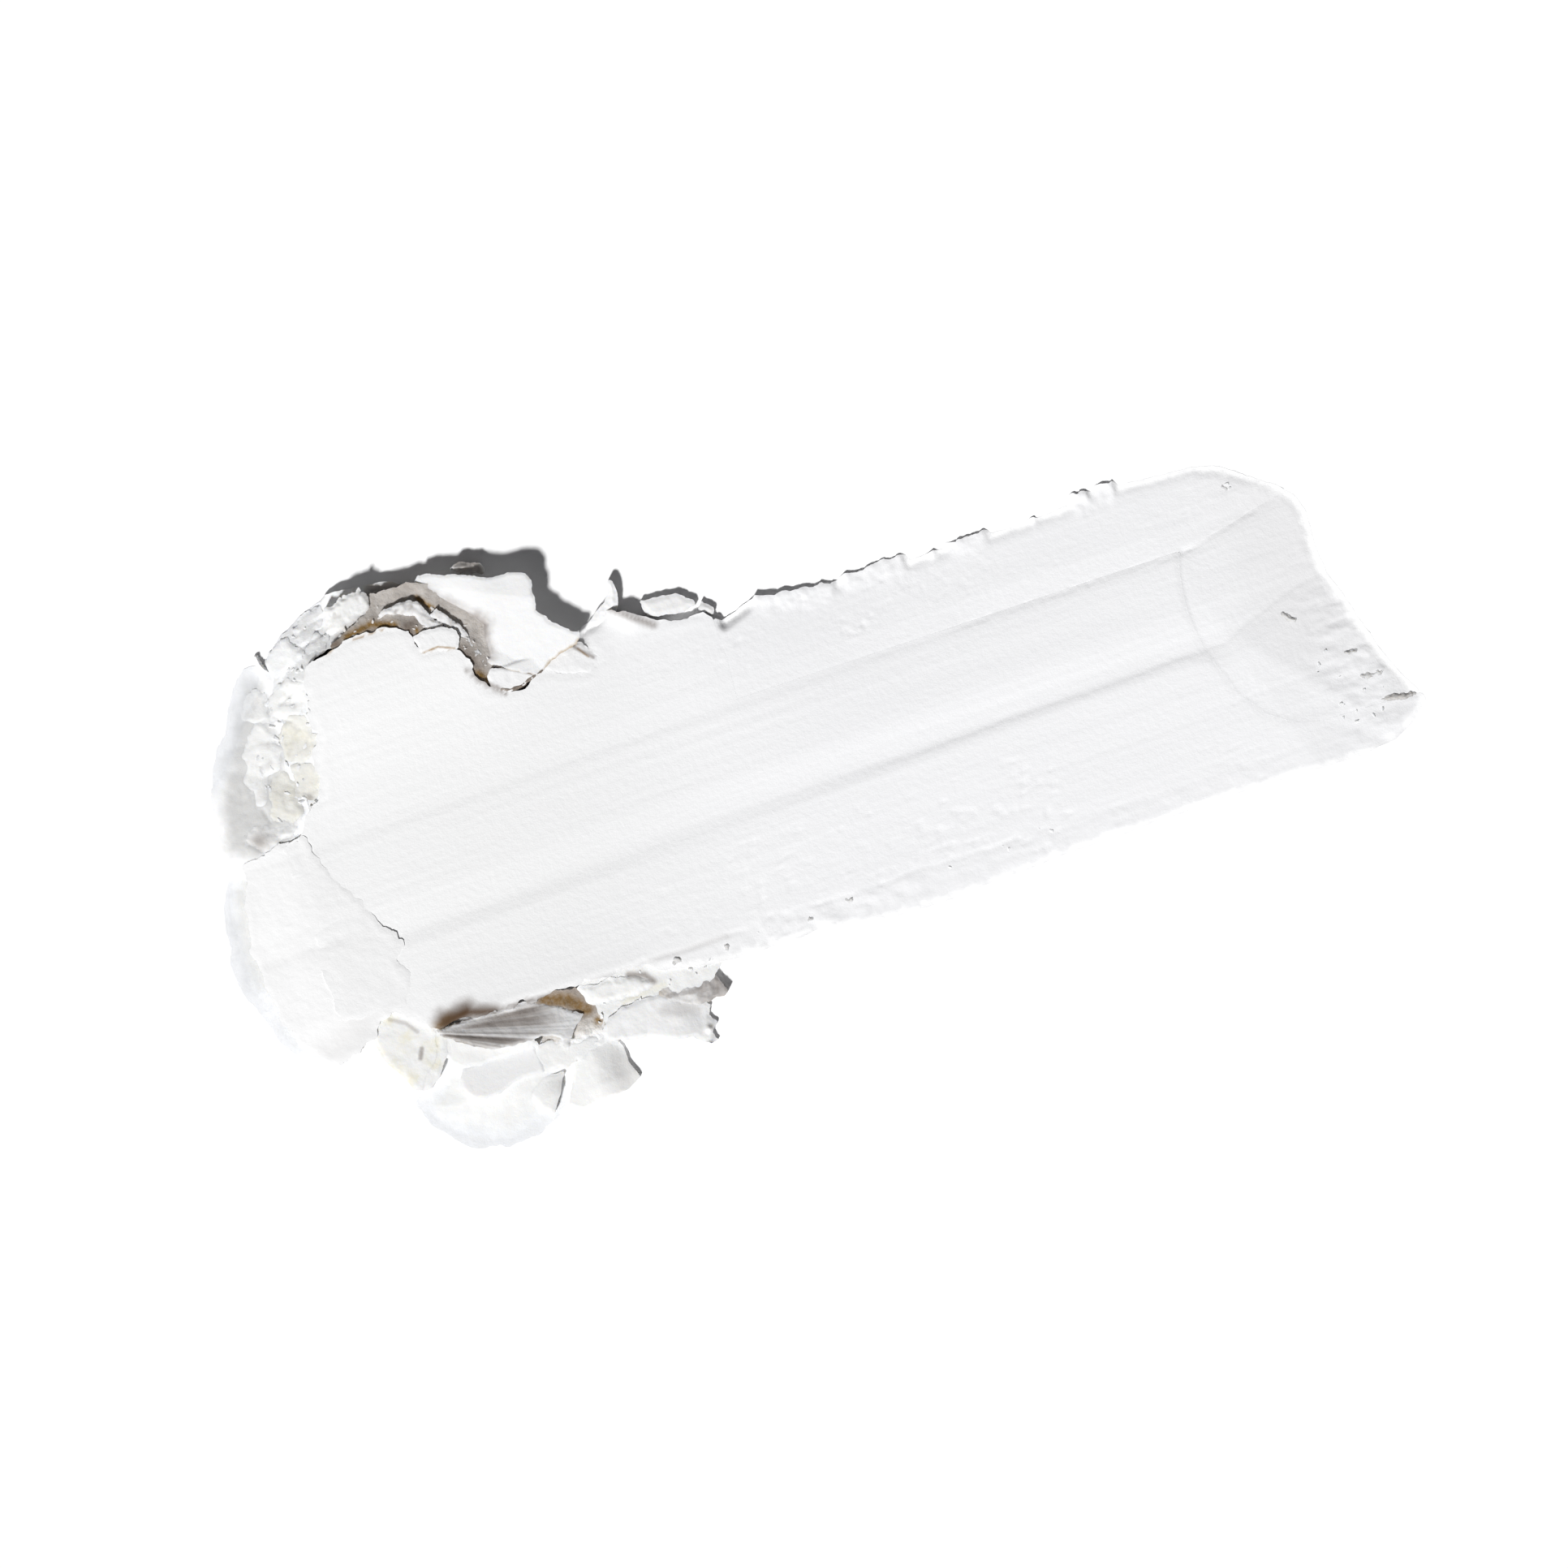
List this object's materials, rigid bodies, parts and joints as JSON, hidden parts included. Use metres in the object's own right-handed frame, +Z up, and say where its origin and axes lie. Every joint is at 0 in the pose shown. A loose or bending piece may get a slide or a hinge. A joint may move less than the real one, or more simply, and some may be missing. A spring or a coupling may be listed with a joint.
{
  "type": "chalk paste slab",
  "caption": "Dried white chalk paste drawn out flat with a blade: a grooved slab with a pressed heel, and crumbly banks, a folded lobe, torn plates and flakes at the other end",
  "frame": {"origin": "centre of the footprint, on the surface that the slab lies on", "axes": "+X along the stroke towards the heel where the blade was set down; +Y towards the edge with the torn plate; +Z up, away from the surface"},
  "size_m": [0.112, 0.0528, 0.0044],
  "materials": {
    "set_chalk": "smooth matt",
    "bank_chalk": "crumbly matt",
    "flake_chalk": "soft matt",
    "stained_chalk": "crumbly matt, pale yellow"
  },
  "bodies": {
    "root": {"arch_chip": "flake_chalk", "back_chip": "bank_chalk", "drawn_slab": "set_chalk", "edge_crumb_1": "bank_chalk", "edge_crumb_2": "bank_chalk", "edge_crumb_3": "bank_chalk", "edge_crumb_4": "bank_chalk", "edge_curl": "flake_chalk", "feather_flake": "flake_chalk", "fold_lobe": "set_chalk", "fold_strip": "flake_chalk", "heel_crumb_1": "bank_chalk", "heel_crumb_2": "bank_chalk", "heel_crumb_3": "bank_chalk", "heel_crumb_4": "bank_chalk", "heel_crumb_5": "bank_chalk", "heel_pad": "set_chalk", "hollow_chip": "stained_chalk", "left_bank": "bank_chalk", "lip_chip": "set_chalk", "lower_bank": "bank_chalk", "lower_curl": "flake_chalk", "notch_flake": "flake_chalk", "peak_chip": "set_chalk", "petal_flake": "flake_chalk", "ridge_chunk_1": "bank_chalk", "ridge_chunk_2": "bank_chalk", "ridge_chunk_3": "bank_chalk", "ridge_chunk_4": "bank_chalk", "rim_bank": "bank_chalk", "rim_chunk_1": "bank_chalk", "rim_chunk_2": "stained_chalk", "rim_chunk_3": "stained_chalk", "rim_chunk_4": "bank_chalk", "rim_chunk_5": "stained_chalk", "rim_chunk_6": "bank_chalk", "rim_chunk_7": "bank_chalk", "root_chip": "set_chalk", "second_curl": "flake_chalk", "shelf_flake": "flake_chalk", "spike_flake": "flake_chalk", "strip_flake": "flake_chalk", "tail_flake": "flake_chalk", "torn_plate": "flake_chalk", "upper_bank": "bank_chalk", "upper_strip": "set_chalk", "upright_chip": "flake_chalk", "wedge_sliver": "stained_chalk", "white_wedge": "flake_chalk", "yellow_wedge": "stained_chalk"}
  },
  "joints": []
}
